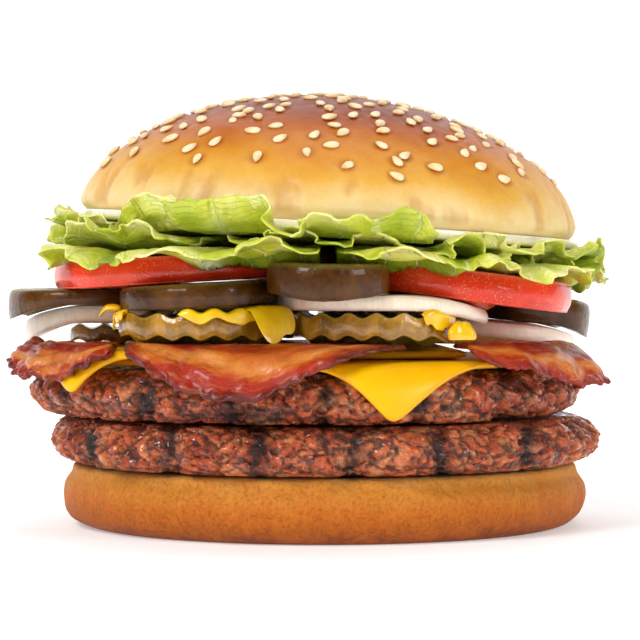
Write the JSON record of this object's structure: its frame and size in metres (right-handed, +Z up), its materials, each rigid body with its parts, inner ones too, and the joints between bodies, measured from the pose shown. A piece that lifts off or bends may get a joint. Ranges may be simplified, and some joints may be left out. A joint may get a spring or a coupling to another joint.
{
  "type": "double cheeseburger",
  "caption": "Stacked hamburger to eat: sesame bun, grilled beef patties, cheese, bacon, pickles, onion, jalapeno, tomato, lettuce, mayonnaise and mustard.",
  "frame": {"origin": "middle of the flat underside of the lower bun, which stands on the table", "axes": "+X to the right and +Y away from the side that the picture shows, +Z up through the stack"},
  "size_m": [0.1292, 0.129, 0.0922],
  "materials": {
    "crust": "baked bread crust, satin with an egg wash shine on the crown",
    "patty": "grilled minced beef, rough with glossy fat",
    "cheese": "soft processed cheese, smooth satin",
    "bacon": "fried bacon, glossy fat and lean streaks",
    "pickle": "wet gherkin, glossy",
    "mustard": "smooth sauce, glossy",
    "onion": "raw onion, satin and faintly fibrous",
    "jalapeno": "pickled jalapeno, dark and glossy",
    "tomato": "wet cut tomato, glossy",
    "lettuce": "crisp leaf, satin",
    "mayonnaise": "smooth sauce, glossy"
  },
  "bodies": {
    "root": {"bun_heel": "crust", "patty_lower": "patty", "patty_upper": "patty", "cheese_lower": "cheese", "cheese_upper": "cheese", "bacon_left": "bacon", "bacon_front": "bacon", "bacon_right": "bacon", "bacon_back": "bacon", "pickle_front_left": "pickle", "pickle_front_middle": "pickle", "pickle_left": "pickle", "pickle_back_left": "pickle", "pickle_back_right": "pickle", "mustard_left": "mustard", "mustard_middle": "mustard", "mustard_right": "mustard", "onion_left": "onion", "onion_right": "onion", "onion_front": "onion", "onion_back": "onion", "jalapeno_left": "jalapeno", "jalapeno_front_left": "jalapeno", "jalapeno_front_right": "jalapeno", "jalapeno_right": "jalapeno", "jalapeno_back_right": "jalapeno", "jalapeno_back_left": "jalapeno", "tomato_left": "tomato", "tomato_right": "tomato", "tomato_back": "tomato", "lettuce_01": "lettuce", "lettuce_02": "lettuce", "lettuce_03": "lettuce", "lettuce_04": "lettuce", "lettuce_05": "lettuce", "lettuce_06": "lettuce", "lettuce_07": "lettuce", "lettuce_08": "lettuce", "lettuce_09": "lettuce", "lettuce_10": "lettuce", "lettuce_11": "lettuce", "lettuce_12": "lettuce", "lettuce_13": "lettuce", "lettuce_14": "lettuce", "lettuce_15": "lettuce", "mayonnaise": "mayonnaise", "bun_crown": "crust"}
  },
  "joints": []
}
